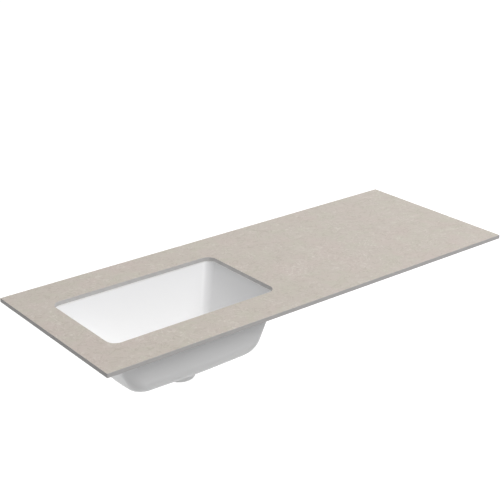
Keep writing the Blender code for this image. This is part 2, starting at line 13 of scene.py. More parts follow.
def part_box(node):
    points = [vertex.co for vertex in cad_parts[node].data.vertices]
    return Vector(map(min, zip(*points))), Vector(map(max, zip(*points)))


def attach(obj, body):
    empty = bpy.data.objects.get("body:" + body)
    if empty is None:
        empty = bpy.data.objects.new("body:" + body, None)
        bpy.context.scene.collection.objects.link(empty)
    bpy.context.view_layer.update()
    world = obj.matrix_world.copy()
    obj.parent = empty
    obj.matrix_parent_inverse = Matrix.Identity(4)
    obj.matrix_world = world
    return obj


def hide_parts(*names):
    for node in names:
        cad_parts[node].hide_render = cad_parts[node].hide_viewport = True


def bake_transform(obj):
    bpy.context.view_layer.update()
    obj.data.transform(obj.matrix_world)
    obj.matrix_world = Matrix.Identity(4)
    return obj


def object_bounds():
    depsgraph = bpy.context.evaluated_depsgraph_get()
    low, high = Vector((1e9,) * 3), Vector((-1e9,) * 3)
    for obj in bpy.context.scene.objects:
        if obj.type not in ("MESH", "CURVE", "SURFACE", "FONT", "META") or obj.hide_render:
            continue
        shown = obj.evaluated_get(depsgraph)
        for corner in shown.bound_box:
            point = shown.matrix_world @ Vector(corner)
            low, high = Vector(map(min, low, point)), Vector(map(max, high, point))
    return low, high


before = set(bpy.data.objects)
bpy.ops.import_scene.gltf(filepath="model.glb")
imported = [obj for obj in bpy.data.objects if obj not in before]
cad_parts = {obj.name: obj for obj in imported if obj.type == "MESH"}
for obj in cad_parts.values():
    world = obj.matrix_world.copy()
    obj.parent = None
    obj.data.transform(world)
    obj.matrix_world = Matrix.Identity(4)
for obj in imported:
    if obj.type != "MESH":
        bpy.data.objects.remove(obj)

bl_info = {
    "name": "Vanity Sink Top",
    "version": (1, 0, 0),
    "blender": (4, 5, 0),
    "location": "View3D > Sidebar > Vanity Top",
    "description": "Stone vanity top with an undermounted ceramic basin, its fixings and its waste",
    "category": "Add Mesh",
}

CAD_LOW, CAD_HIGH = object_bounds()
BODY_TOP = "top"
BODY_PLUG = "plug"
CORNERS = ("front_left", "front_right", "back_left", "back_right")

SLAB_LOW, SLAB_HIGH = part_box("countertop_slab")
BEAD_LOW, BEAD_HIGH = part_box("sealant_bead")
BASIN_LOW, BASIN_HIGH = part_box("basin")
WASTE_LOW, WASTE_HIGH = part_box("waste_body")
BASIN_X = (BASIN_LOW.x + BASIN_HIGH.x) / 2
OUTLET = (WASTE_LOW + WASTE_HIGH) / 2
OUTLET.z = 0
MERGE = 1e-6
SMOOTH_BELOW = radians(32)
FOLD_ABOVE = radians(50)
FACING_UP = 0.9
ROUND_STEPS = 5
WHITE = (1.0, 1.0, 1.0)


def number(name, description, default, **kind):
    return FloatProperty(name=name, description=description, default=default, **kind)


def length(*words):
    return number(*words, min=0.0, precision=4, unit="LENGTH")


def share(*words):
    return number(*words, precision=3, subtype="FACTOR", soft_min=-1.0, soft_max=1.0)


def degrees(name, description, default):
    return number(name, description, radians(default), precision=3, unit="ROTATION")


def whole(name, description, default, least):
    return IntProperty(name=name, description=description, default=default, min=least)


def colour(name, description, default):
    return FloatVectorProperty(name=name, description=description, default=default, size=3,
                               min=0.0, max=1.0, subtype="COLOR")


class SlabSizes(PropertyGroup):
    arris: length("Arris", "Eased edge of the top face", 0.0008)
    under_arris: length("Under arris", "Eased edge of the underside", 0.0003)
    opening_length: length("Opening length", "Cut-out, left to right", 0.450)
    opening_depth: length("Opening depth", "Cut-out, front to back", 0.260)
    opening_radius: length("Opening radius", "The cut-out's corners", 0.024)
    anchor_gap: length("Anchor gap", "Resin round each anchor", 0.0003)
    bead_setback: length("Bead setback", "From the cut-out to the bead", 0.0004)
    bead_hollow: length("Bead hollow", "Inward curve of the bead's sides", 0.0001)
    bead_squeeze: length("Bead squeeze", "Gap above and below the bead", 0.00002)


class BasinSizes(PropertyGroup):
    wall: length("Wall", "Thickness of the bowl's wall", 0.0105)
    floor: length("Floor", "Thickness of the bowl's floor", 0.011)
    depth: length("Bowl depth", "From the rim to the floor at the outlet", 0.138)
    fillet: length("Bowl fillet", "Between wall and floor inside the bowl", 0.033)
    rim_thickness: length("Rim thickness", "Height of the fixing rim", 0.012)
    rim_ease: length("Rim ease", "Round on the rim's edges", 0.0015)
    rim_root: length("Rim root", "Fillet between wall and rim", 0.003)
    lip_ease: length("Lip ease", "Round on the bowl's upper edge", 0.0006)
    side_draft: share("Side draft", "Lean of the left and right walls", 0.485)
    front_draft: share("Front draft", "Lean of the front wall", 0.005)
    back_draft: share("Back draft", "Lean of the back wall", 0.481)
    corner_growth: share("Corner growth", "Growth of the corners with depth", -0.032)
    fall_along: share("Fall along", "Floor's slope, left to right", 0.025)
    fall_across: share("Fall across", "Floor's slope, front to back", 0.086)
    fall_ease: length("Fall ease", "Where the floor levels out", 0.023)
    recess_radius: length("Recess radius", "Recess for the waste's flange", 0.034)
    recess_depth: length("Recess depth", "Depth of that recess", 0.0045)
    recess_ease: length("Recess ease", "Round on its edge", 0.0014)
    hole_radius: length("Outlet radius", "Outlet hole", 0.023)
    pocket_radius: length("Pocket radius", "Lock nut's pocket in the boss", 0.0295)
    pocket_depth: length("Pocket depth", "Depth of that pocket", 0.012)
    boss_radius: length("Boss radius", "Outside of the outlet boss", 0.036)
    boss_ease: length("Boss ease", "Round at the boss's foot", 0.0035)
    boss_root: length("Boss root", "Fillet between boss and bowl", 0.004)
    arc_steps: whole("Corner steps", "Facets round each corner", 16, 4)
    side_steps: whole("Side steps", "Facets along each side", 16, 4)
    floor_steps: whole("Floor steps", "Rings across the floor", 12, 3)


class FixingSizes(PropertyGroup):
    plate: length("Clip plate", "Thickness of the clip's plate", 0.003)
    bend: length("Clip bend", "Inner radius of its bend", 0.0012)
    corner: length("Clip corner", "Round on its corners", 0.0035)
    slot_half: length("Slot half length", "From the stud to the slot's end centres", 0.0028)
    ease: length("Ease", "Broken edge on metal pieces, seals and pads", 0.0004)
    pad_corner: length("Pad corner", "Round on the pads' corners", 0.0015)
    stud_radius: length("Stud radius", "Outside of the stud's thread", 0.003)
    stud_pitch: length("Stud pitch", "Pitch of the stud's thread", 0.001)
    stud_bore: length("Stud bore", "Radius of the stud's holes and slot", 0.0033)


class WasteSizes(PropertyGroup):
    flange: length("Flange thickness", "Thickness of the flange", 0.0025)
    lip: length("Flange lip", "Round on its outer edge", 0.0012)
    seat_radius: length("Seat radius", "Where the flange turns down to its seat", 0.024)
    seat_drop: length("Seat drop", "Height of the conical seat", 0.0038)
    bore: length("Tail bore", "Inside of the tail", 0.017)
    tail: length("Tail radius", "Outside of the threaded tail", 0.0205)
    pitch: length("Tail pitch", "Pitch of the tail's thread", 0.0023)
    fit: length("Fit", "Gap round the tail and the skirt", 0.0003)
    hub: length("Hub radius", "Hub that carries the click housing", 0.010)
    hub_bore: length("Hub bore", "Bore for the click housing", 0.0073)
    hub_drop: length("Hub drop", "From the flange's top to the hub", 0.0121)
    hub_height: length("Hub height", "Height of the hub and its bars", 0.006)
    bar: length("Bar width", "Width of the cross-bars", 0.0035)
    cap_edge: length("Cap edge", "Thickness of the plug cap's edge and skirt", 0.0025)
    cap_dome: length("Cap dome", "Rise of the cap's middle", 0.001)
    cap_round: length("Cap round", "Round on the cap's edge", 0.0011)
    cap_skin: length("Cap skin", "Metal above the stem's hole", 0.0027)
    cap_boss: length("Cap boss", "Boss that takes the stem", 0.007)
    skirt: length("Skirt radius", "Ring that holds the gasket", 0.018)
    skirt_drop: length("Skirt drop", "Height of that ring", 0.0031)
    spring_wire: length("Spring wire", "Wire of the click spring", 0.0007)
    spring_turns: whole("Spring turns", "Turns of the click spring", 3, 2)


class Finishes(PropertyGroup):
    stone: colour("Stone", "Main colour of the top face", (0.577, 0.521, 0.466))
    stone_warm: colour("Warm clouds", "Rosy clouds in the stone", (0.592, 0.514, 0.470))
    stone_green: colour("Green clouds", "Greenish clouds in the stone", (0.562, 0.530, 0.452))
    stone_light: colour("Light marks", "Cream curls and flecks", (0.73, 0.69, 0.63))
    stone_dark: colour("Dark marks", "Taupe curls and flecks", (0.42, 0.37, 0.31))
    core: colour("Core", "Grey body at the slab's edges", (0.530, 0.516, 0.508))
    glaze: colour("Glaze", "White glaze at the rim", (0.855, 0.855, 0.862))
    # Painted light: a lighter glaze colour for low in the bowl, standing in for brighter light there.
    glaze_painted_light: colour("Painted light glaze", "White glaze low in the bowl", (0.975, 0.973, 0.97))
    biscuit: colour("Biscuit", "Unglazed ceramic", (0.74, 0.72, 0.68))
    sealant: colour("Sealant", "White silicone", (0.94, 0.94, 0.935))
    steel: colour("Steel", "Zinc-plated steel", (0.58, 0.60, 0.62))
    brass: colour("Brass", "Bare brass", (0.72, 0.54, 0.27))
    chrome: colour("Chrome", "Polished chrome", (0.80, 0.81, 0.82))
    rubber: colour("Rubber", "Black rubber", (0.028, 0.028, 0.03))
    plastic: colour("Plastic", "Moulded white plastic", (0.80, 0.80, 0.78))
    studio: colour("Studio floor", "Pale floor", (0.40, 0.40, 0.40))


class StageSizes(PropertyGroup):
    floor_z: number("Floor", "Height of the floor", -0.85, unit="LENGTH")
    floor_size: length("Floor size", "Side of the floor", 60.0)
    floor_glow: number("Floor glow", "White added to the floor as the camera sees it", 0.85)
    camera_place: FloatVectorProperty(name="Camera place", description="Where the camera stands",
                                      size=3, default=(-1.6151, -1.9562, 1.1000), subtype="TRANSLATION")
    camera_tilt: degrees("Camera tilt", "How far the camera looks down", 22.522)
    camera_turn: degrees("Camera turn", "Its turn from straight ahead", -38.653)
    lens: number("Lens", "Focal length in millimetres", 81.08, min=1.0)
    world: number("World", "Even light from all round", 0.31)
    key: number("Key", "Level of the key lamp", 0.501)
    key_turn: degrees("Key turn", "To the right of the front", 20)
    key_rise: degrees("Key rise", "Above the horizon", 45)
    side: number("Side", "Level of the side lamp", 0.341)
    side_turn: degrees("Side turn", "To the right of the front", 110)
    side_rise: degrees("Side rise", "Above the horizon", 60)
    fill: number("Fill", "Level of the fill lamp", 0.121)
    fill_turn: degrees("Fill turn", "To the right of the front", -75)
    fill_rise: degrees("Fill rise", "Above the horizon", 3)
    lamp_distance: length("Lamp distance", "From the top's middle to each lamp", 8.0)
    lamp_size: length("Lamp size", "Side of each lamp", 4.8)


def settings(name):
    return getattr(bpy.context.scene, "vanity_" + name)


class Wire:
    """A shader socket whose arithmetic adds Math nodes."""

    def __init__(self, net, socket):
        self.net = net
        self.socket = socket

    def maths(self, operation, first, second):
        return self.net.node("Math", {0: first, 1: second}, {"operation": operation})

    def __add__(self, other):
        return self.maths("ADD", self, other)

    def __sub__(self, other):
        return self.maths("SUBTRACT", self, other)

    def __rsub__(self, other):
        return self.maths("SUBTRACT", other, self)

    def __mul__(self, other):
        return self.maths("MULTIPLY", self, other)

    __radd__ = __add__
    __rmul__ = __mul__

    def clamp(self):
        return self.net.node("Clamp", {"Value": self})


class Net:
    """A node tree, built from expressions."""

    def __init__(self, tree):
        self.tree = tree

    def feed(self, socket, value):
        if isinstance(value, Wire):
            self.tree.links.new(value.socket, socket)
        elif isinstance(value, tuple) and len(value) < len(socket.default_value):
            socket.default_value = (*value, 1.0)
        else:
            socket.default_value = value

    def node(self, kind, inputs, options=None, output=0):
        """Add a node of a kind, feed its inputs and give back one of its outputs."""
        made = self.tree.nodes.new("ShaderNode" + kind)
        for key, value in (options or {}).items():
            setattr(made, key, value)
        for key, value in inputs.items():
            self.feed(made.inputs[key], value)
        return Wire(self, made.outputs[output])

    def background_rays(self):
        """1 for rays that see the white studio: from the camera, and off or through gloss."""
        rays = [self.node("LightPath", {}, output=name)
                for name in ("Is Camera Ray", "Is Glossy Ray", "Is Transmission Ray")]
        return (rays[0] + rays[1] + rays[2]).clamp()

    def surface(self, output, factor, first, second):
        """Feed the tree's output with two shaders, mixed by a factor."""
        mixed = self.node("MixShader", {0: factor, 1: first, 2: second})
        self.feed(self.tree.nodes[output].inputs["Surface"], mixed)


class Finish(Net):
    """A piece's material: patterns in object coordinates that feed its shader."""

    def __init__(self, name):
        self.material = bpy.data.materials.new(name)
        self.material.use_nodes = True
        super().__init__(self.material.node_tree)

    @cached_property
    def place(self):
        return self.node("TexCoord", {}, output="Object")

    def noise(self, scale, detail=3.0, roughness=0.5, distortion=0.0, place=None):
        return self.node("TexNoise", {
            "Vector": place or self.place, "Scale": scale, "Detail": detail,
            "Roughness": roughness, "Distortion": distortion})

    def stretched(self, scale, turn=(0.0, 0.0, 0.0)):
        return self.node("Mapping", {"Vector": self.place, "Scale": scale, "Rotation": turn})

    def shade(self, name, factor=1.0):
        """One of the finishes' colours, darker or lighter by a factor."""
        return tuple(min(channel * factor, 1.0) for channel in getattr(settings("finishes"), name))

    def blend(self, factor, first, second):
        colours = {0: factor, 6: first, 7: second}
        return self.node("Mix", colours, {"data_type": "RGBA"}, output=2)

    def mottled(self, name, factor, first, second):
        """A colour that a pattern carries from one of its shades to another."""
        return self.blend(factor, self.shade(name, first), self.shade(name, second))

    def bump(self, height, distance, strength=1.0):
        return self.node("Bump", {"Height": height, "Distance": distance, "Strength": strength})

    def finish(self, colour, roughness, normal=None, specular=0.5, metallic=0.0):
        """Feed the shader; specular and metallic are the same all over a piece."""
        inputs = {"Base Color": colour, "Roughness": roughness, "Specular IOR Level": specular,
                  "Metallic": metallic}
        if normal:
            inputs["Normal"] = normal
        for key, value in inputs.items():
            self.feed(self.tree.nodes["Principled BSDF"].inputs[key], value)
        return self.material


def above(wire, edge, gain):
    """A mask that rises from 0 to 1 where a pattern passes an edge."""
    return ((wire - edge) * gain).clamp()


def below(wire, edge, gain):
    return ((edge - wire) * gain).clamp()


def near(wire, middle, width):
    """A mask of thin curls: 1 where a pattern passes a value, 0 from a width beside it."""
    away = wire.maths("ABSOLUTE", wire - middle, 0.0)
    return (1.0 - away * (1.0 / width)).clamp()


def stone_material():
    """Fine-grained beige stone: warm and green clouds, crowded cream and taupe marks, sandy grain."""
    net = Finish("stone decor")
    elsewhere = net.stretched((1.0, 1.2, 1.0), (0.4, 0.2, 0.7))
    cloud = net.noise(8.0, 3.0, 0.6)
    patch = net.noise(21.0, 3.0, 0.6, 0.8, elsewhere)
    crowd = net.noise(11.0, 2.0, 0.5, 0.5)
    curl = net.noise(27.0, 2.5, 0.55, 1.8)
    swirl = net.noise(24.0, 2.5, 0.55, 2.0, elsewhere)
    fleck = net.noise(120.0, 2.0, 0.5, 0.6)
    grain = net.noise(640.0, 4.0, 0.75)
    base = net.blend(above(patch, 0.45, 6.0) * 0.8, net.shade("stone"), net.shade("stone_green"))
    base = net.blend(above(cloud, 0.48, 6.0) * 0.8, base, net.shade("stone_warm"))
    base = net.blend(above(grain, 0.45, 6.0) * 0.12, base, net.shade("stone", 0.86))
    shells = 0.25 + above(crowd, 0.42, 5.0) * 0.75
    cream = (near(curl, 0.56, 0.030) + above(fleck, 0.60, 10.0) * 0.8) * shells
    base = net.blend(cream.clamp() * 0.60, base, net.shade("stone_light"))
    taupe = (near(swirl, 0.45, 0.032) + below(fleck, 0.38, 10.0) * 0.6) * (1.1 - shells * 0.4)
    base = net.blend(taupe.clamp() * 0.50, base, net.shade("stone_dark"))
    return net.finish(base, 0.42 + grain * 0.12, net.bump(grain + cream * 0.4, 0.00006), specular=0.3)


def core_material():
    """Grey moulded body under the decor face."""
    net = Finish("slab core")
    grain = net.noise(900.0, 4.0, 0.7)
    drift = net.noise(30.0, 3.0)
    base = net.mottled("core", above(drift, 0.35, 3.0), 0.97, 1.03)
    base = net.blend(above(grain, 0.55, 8.0) * 0.3, base, net.shade("core", 0.82))
    return net.finish(base, 0.55 + grain * 0.15, net.bump(grain, 0.00005), specular=0.25)


def ceramic_material():
    """White glaze with painted light, lighter low in the bowl, and bare biscuit on the boss's foot and
    the rim's face.
    """
    net = Finish("glazed ceramic")
    ripple = net.noise(26.0, 2.0, 0.4)
    speck = net.noise(900.0, 3.0, 0.6)
    height = net.node("SeparateXYZ", {"Vector": net.place}, output=2)
    wiped = 0.0005
    sharpness = 3000.0
    foot = below(height, BASIN_LOW.z + wiped, sharpness)
    rim = above(height, BASIN_HIGH.z - wiped, sharpness)
    bare = (foot + rim).clamp()
    # Painted light: the glaze is lightened towards the bowl's floor, in place of brighter light low in
    # the bowl.
    painted_light_low = below(height, BASIN_HIGH.z, 1.0 / settings("basin").depth)
    glaze = net.blend(painted_light_low * 0.94 + ripple * 0.06, net.shade("glaze"), net.shade("glaze_painted_light"))
    base = net.blend(bare, glaze, net.mottled("biscuit", speck, 0.94, 1.0))
    relief = net.bump(ripple + speck * bare * 0.02, 0.0002, 0.5)
    return net.finish(base, 0.27 + bare * 0.4, relief, specular=0.35)


def sealant_material():
    net = Finish("silicone sealant")
    wave = net.noise(160.0, 3.0)
    return net.finish(net.mottled("sealant", wave, 0.95, 1.0), 0.38 + wave * 0.1, net.bump(wave, 0.0002))


def steel_material():
    """Zinc-plated steel with faint rolling marks and passivated blotches."""
    net = Finish("zinc plated steel")
    marks = net.noise(220.0, 3.0, 0.6, 0.0, net.stretched((1.0, 14.0, 14.0)))
    blotch = net.noise(120.0, 4.0, 0.6, 0.8)
    base = net.mottled("steel", above(blotch, 0.35, 3.0), 0.86, 1.05)
    return net.finish(base, 0.26 + marks * 0.2, net.bump(marks, 0.00003), metallic=1.0)


def brass_material():
    net = Finish("bare brass")
    tarnish = net.noise(180.0, 4.0, 0.65, 0.5)
    base = net.mottled("brass", above(tarnish, 0.45, 4.0) * 0.6, 1.0, 0.72)
    return net.finish(base, 0.24 + tarnish * 0.22, net.bump(tarnish, 0.00002), metallic=1.0)


def chrome_material():
    net = Finish("polished chrome")
    haze = net.noise(90.0, 4.0, 0.6)
    base = net.mottled("chrome", haze, 0.97, 1.0)
    return net.finish(base, 0.04 + above(haze, 0.5, 3.0) * 0.05, metallic=1.0)


def rubber_material():
    net = Finish("black rubber")
    bloom = net.noise(400.0, 3.0, 0.6)
    base = net.mottled("rubber", above(bloom, 0.5, 4.0) * 0.5, 1.0, 1.8)
    return net.finish(base, 0.55 + bloom * 0.2, net.bump(bloom, 0.00004))


def plastic_material():
    net = Finish("moulded plastic")
    flow = net.noise(260.0, 3.0, 0.55)
    base = net.mottled("plastic", flow, 0.95, 1.0)
    return net.finish(base, 0.32 + flow * 0.12, net.bump(flow, 0.00002))


MAKERS = {
    "stone": stone_material,
    "core": core_material,
    "ceramic": ceramic_material,
    "sealant": sealant_material,
    "steel": steel_material,
    "brass": brass_material,
    "chrome": chrome_material,
    "rubber": rubber_material,
    "plastic": plastic_material,
}


@cache
def finish_of(name):
    """The material of a finish, made once."""
    return MAKERS[name]()


def link(name, data):
    piece = bpy.data.objects.new(name, data)
    bpy.context.scene.collection.objects.link(piece)
    return piece


def link_mesh(name, bm):
    """An object with a bmesh's mesh; the bmesh is freed."""
    mesh = bpy.data.meshes.new(name)
    bm.to_mesh(mesh)
    bm.free()
    return link(name, mesh)


def make_piece(name, node, bm, *finishes):
    """Turn a bmesh in frame coordinates into a piece that stands for a CAD node."""
    bmesh.ops.remove_doubles(bm, verts=bm.verts[:], dist=MERGE)
    bmesh.ops.recalc_face_normals(bm, faces=bm.faces[:])
    piece = link_mesh(name, bm)
    piece.data.shade_smooth()
    piece.data.set_sharp_from_angle(angle=SMOOTH_BELOW)
    for finish in finishes:
        piece.data.materials.append(finish_of(finish))
    piece.modifiers.new("flat faces stay flat", "WEIGHTED_NORMAL").keep_sharp = True
    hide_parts(node)
    return piece


def place_piece(name, node, bm, *finishes, body=BODY_TOP):
    """Make a piece that moves with one body."""
    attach(make_piece(name, node, bm, *finishes), body)


def dress_node(node, finish):
    """Give a CAD node that stays its own finish."""
    for material_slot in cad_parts[node].material_slots:
        material_slot.material = finish_of(finish)


def round_box(node):
    """A round node's box and radius."""
    low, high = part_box(node)
    return low, high, (high.x - low.x) / 2


def carve(bm, tool, operation="DIFFERENCE"):
    """Combine two closed bmeshes with an exact Boolean and give back the result."""
    pair = []
    for part in (bm, tool):
        bmesh.ops.recalc_face_normals(part, faces=part.faces[:])
        pair.append(link_mesh("carving", part))
    modifier = pair[0].modifiers.new("carve", "BOOLEAN")
    modifier.operation = operation
    modifier.object = pair[1]
    result = bmesh.new()
    result.from_object(pair[0], bpy.context.evaluated_depsgraph_get())
    for part in pair:
        bpy.data.meshes.remove(part.data)
    return result


def ring_edges(bm, ring):
    return [bm.edges.get((ring[index - 1], ring[index])) for index in range(len(ring))]


def extend_ring(bm, ring, points):
    """Extrude a ring and move the new one onto its points."""
    made = bmesh.ops.extrude_edge_only(bm, edges=ring_edges(bm, ring))["geom"]
    fresh = {item for item in made if isinstance(item, bmesh.types.BMVert)}
    following = []
    for old, point in zip(ring, points):
        new = next(edge.other_vert(old) for edge in old.link_edges if edge.other_vert(old) in fresh)
        new.co = point
        following.append(new)
    return following


def loft(rings, closed):
    """A skin through rings: closed joins the last ring to the first, open fills both ends."""
    bm = bmesh.new()
    first = bmesh.ops.create_circle(bm, segments=len(rings[0]), radius=1.0)["verts"]
    for vert, point in zip(first, rings[0]):
        vert.co = point
    ring = first
    for points in rings[1:]:
        ring = extend_ring(bm, ring, points)
    if closed:
        bmesh.ops.bridge_loops(bm, edges=ring_edges(bm, first) + ring_edges(bm, ring))
    else:
        bmesh.ops.contextual_create(bm, geom=ring_edges(bm, first))
        bmesh.ops.contextual_create(bm, geom=ring_edges(bm, ring))
    return bm


def pull(bm, faces, move):
    """Extrude faces and move what is new."""
    grown = bmesh.ops.extrude_face_region(bm, geom=faces)["geom"]
    verts = [item for item in grown if isinstance(item, bmesh.types.BMVert)]
    bmesh.ops.translate(bm, verts=verts, vec=move)


def eased(profile, steps=4):
    """The points of a profile of (reach, height) corners, or (reach, height, ease) to round one."""
    points = []
    for index, (reach, height, *rounding) in enumerate(profile):
        corner = Vector((reach, height))
        if not rounding:
            points.append(corner)
            continue
        ease = rounding[0]
        before = Vector(profile[index - 1][:2])
        after = Vector(profile[(index + 1) % len(profile)][:2])
        start = corner + (before - corner).normalized() * ease
        end = corner + (after - corner).normalized() * ease
        for step in range(steps + 1):
            along = step / steps
            points.append(start.lerp(corner, along).lerp(corner.lerp(end, along), along))
    return points


def draw(points, centre, closed):
    """A bmesh of (reach, height) points beside a vertical axis, joined in a row or a loop."""
    bm = bmesh.new()
    verts = [bm.verts.new((centre.x + reach, centre.y, height)) for reach, height in points]
    for pair in zip(verts, verts[1:]):
        bm.edges.new(pair)
    if closed:
        bm.edges.new((verts[-1], verts[0]))
    return bm


def spin(bm, centre, steps, turns=1, rise=0.0):
    """Spin a bmesh about a vertical axis, a full turn or up a helix that rises with each step."""
    bmesh.ops.spin(bm, geom=bm.verts[:] + bm.edges[:], cent=(centre.x, centre.y, 0), axis=(0, 0, 1),
                   dvec=(0, 0, rise), angle=tau * turns, steps=steps, use_merge=rise == 0)
    bmesh.ops.remove_doubles(bm, verts=bm.verts[:], dist=MERGE)


def turned(profile, centre=OUTLET, steps=96, closed=True):
    """Spin an eased profile about a vertical axis; an open one starts and ends on the axis."""
    bm = draw(eased(profile), centre, closed)
    spin(bm, centre, steps)
    return bm


def turned_solid(profile, centre=OUTLET, steps=96):
    """Spin a profile that is filled right to the axis."""
    return turned(((0, profile[0][1]), *profile, (0, profile[-1][1])), centre, steps, closed=False)


def flat_ring(node, hole, ease, hole_ease, centre=OUTLET, steps=96):
    """A ring that fills a node's box round its hole."""
    low, high, outer = round_box(node)
    return turned((
        (outer, high.z, ease),
        (outer, low.z, ease),
        (hole, low.z, hole_ease),
        (hole, high.z, hole_ease),
    ), centre, steps)


def countersunk(bore, foot, top, ease, centre=OUTLET, steps=96):
    """What a bore takes away that opens out at both its ends."""
    return turned_solid((
        (bore + ease * 2, foot - ease),
        (bore, foot + ease),
        (bore, top - ease),
        (bore + ease * 2, top + ease),
    ), centre, steps)


def fill_holes(bm):
    bmesh.ops.holes_fill(bm, edges=[edge for edge in bm.edges if edge.is_boundary])


def threaded_rod(low, high, radius, pitch, centre, steps=20):
    """A tooth spun up a helix, cut square at both ends and chamfered there."""
    root = radius - pitch * 0.55
    crest = (pitch * 0.45, pitch * 0.55)
    chamfer = pitch * 0.8
    start = low - pitch * 1.5
    turns = ceil((high - start) / pitch) + 1
    tooth = ((root, 0), (radius, crest[0]), (radius, crest[1]), (root, pitch))
    bm = draw([(reach, start + height) for reach, height in tooth], centre, closed=False)
    spin(bm, centre, steps * turns, turns, pitch / steps)
    for height, upward in ((low, -1), (high, 1)):
        bmesh.ops.bisect_plane(bm, geom=bm.verts[:] + bm.edges[:] + bm.faces[:],
                               plane_co=(0, 0, height), plane_no=(0, 0, upward), clear_outer=True)
    for vert in bm.verts:
        spare = min(vert.co.z - low, high - vert.co.z)
        across = Vector((vert.co.x - centre.x, vert.co.y - centre.y, 0))
        limit = radius - chamfer + spare
        if across.length > limit:
            vert.co -= across * (1 - limit / across.length)
    fill_holes(bm)
    return bm


def coil(low, high, wire, turns):
    """A round wire spun up a helix round the outlet; low and high are its box."""
    radius = (high.x - low.x - wire) / 2
    steps = turns * 24
    start = Matrix.Translation((OUTLET.x + radius, OUTLET.y, low.z + wire / 2))
    upright = Matrix.Rotation(pi / 2, 4, "X")
    bm = bmesh.new()
    bmesh.ops.create_circle(bm, segments=14, radius=wire / 2, matrix=start @ upright)
    spin(bm, OUTLET, steps, turns, (high.z - low.z - wire) / steps)
    fill_holes(bm)
    return bm


def hexagon_nut(node, centre, bore, ease):
    """A hexagon in a node's box, its corners turned off at both faces, with a countersunk bore."""
    low, high, radius = round_box(node)
    half_flat = radians(30)
    start = Matrix.Translation((centre.x, centre.y, low.z)) @ Matrix.Rotation(half_flat, 4, "Z")
    nut = bmesh.new()
    bmesh.ops.create_circle(nut, cap_ends=True, segments=6, radius=radius, matrix=start)
    pull(nut, nut.faces[:], (0, 0, high.z - low.z))
    face_radius = radius * cos(half_flat) - ease
    turned_off = (radius - face_radius) * tan(half_flat)
    nut = carve(nut, turned_solid((
        (face_radius, low.z),
        (radius, low.z + turned_off),
        (radius, high.z - turned_off),
        (face_radius, high.z),
    ), centre), "INTERSECT")
    return carve(nut, countersunk(bore, low.z, high.z, ease, centre))


def block(low, high):
    bm = bmesh.new()
    matrix = Matrix.Translation((low + high) / 2) @ Matrix.Diagonal((*(high - low), 1.0))
    bmesh.ops.create_cube(bm, size=1.0, matrix=matrix)
    return bm


def round_edges(bm, edges, radius, segments):
    bmesh.ops.bevel(bm, geom=edges, offset=radius, offset_type="OFFSET", segments=segments,
                    profile=0.5, affect="EDGES", material=-1, clamp_overlap=True)


def sharp_edges(bm):
    bmesh.ops.recalc_face_normals(bm, faces=bm.faces[:])
    return [edge for edge in bm.edges if edge.calc_face_angle(0) > FOLD_ABOVE]


def edges_at(edges, axis, place):
    """The edges that lie at a place on an axis."""
    return [edge for edge in edges if all(abs(vert.co[axis] - place) < MERGE for vert in edge.verts)]


def edges_along(edges, axis):
    """The edges that run along an axis."""
    return [edge for edge in edges if abs(edge.verts[0].co[axis] - edge.verts[1].co[axis]) > MERGE]


def at_angle(x, y, radius, angle, z):
    return Vector((x + radius * cos(angle), y + radius * sin(angle), z))


def rounded_outline(grow, radius, z, side=0, front=0, back=0):
    """The cut-out's outline, grown, then moved in at both sides, the front and the back."""
    basin = settings("basin")
    slab = settings("slab")
    half_y = slab.opening_depth / 2 + grow
    right = slab.opening_length / 2 + grow - side - radius
    top, foot = half_y - back - radius, front - half_y + radius
    centres = ((right, top), (-right, top), (-right, foot), (right, foot))
    arcs = []
    for quarter, (x, y) in enumerate(centres):
        angles = [pi / 2 * (quarter + step / basin.arc_steps) for step in range(basin.arc_steps + 1)]
        arcs.append([at_angle(BASIN_X + x, y, radius, angle, z) for angle in angles])
    points = []
    for arc, following in zip(arcs, arcs[1:] + arcs[:1]):
        points += arc
        points += [arc[-1].lerp(following[0], step / basin.side_steps)
                   for step in range(1, basin.side_steps)]
    return points


def opening_outline(grow, z):
    """The cut-out's outline, moved outwards by grow."""
    return rounded_outline(grow, settings("slab").opening_radius + grow, z)


def quarter_turns():
    """How far round the cut-out's points are, in quarter turns from its back right corner."""
    basin = settings("basin")
    quarter = basin.arc_steps + basin.side_steps
    return [(index - basin.arc_steps // 2) / quarter for index in range(4 * quarter)]


def slab_outline(z):
    """The slab's outline, in step with the cut-out's."""
    low, high = SLAB_LOW, SLAB_HIGH
    places = ((high.x, high.y), (low.x, high.y), (low.x, low.y), (high.x, low.y))
    corners = [Vector((*place, z)) for place in places]
    points = []
    for turn in quarter_turns():
        side = floor(turn)
        points.append(corners[side % 4].lerp(corners[(side + 1) % 4], turn - side))
    return points


def circle_outline(radius, z):
    """A circle round the outlet, in step with the cut-out's outline."""
    return [at_angle(OUTLET.x, OUTLET.y, radius, pi / 4 + pi / 2 * turn, z)
            for turn in quarter_turns()]


def quarter_round(outline, radius, reach, height, out, up):
    """Rings that round off a corner from its side to its level face; out and up say where it points."""
    rings = []
    for step in range(ROUND_STEPS + 1):
        angle = pi / 2 * step / ROUND_STEPS
        rings.append(outline(reach + out * radius * (cos(angle) - 1),
                             height + up * radius * (sin(angle) - 1)))
    return rings


def wall_inset(depth, draft, floor_depth, fillet):
    """How far a leaning wall, rounded into a floor, has moved inwards at a depth."""
    slant = hypot(1, draft)
    centre_depth = floor_depth - fillet
    if depth <= centre_depth + fillet * draft / slant:
        return draft * depth
    drop = depth - centre_depth
    return draft * centre_depth + fillet * slant - sqrt(max(fillet * fillet - drop * drop, 0))


def floor_lift(point):
    """How much higher the bowl's floor is at a point than at the outlet."""
    basin = settings("basin")
    along = hypot(point.x - OUTLET.x, basin.fall_ease) - basin.fall_ease
    across = hypot(point.y - OUTLET.y, basin.fall_ease) - basin.fall_ease
    return basin.fall_along * along + basin.fall_across * across


def lifted(ring, part=1.0):
    """A ring raised by a part of the floor's lift."""
    for point in ring:
        point.z += part * floor_lift(point)
    return ring


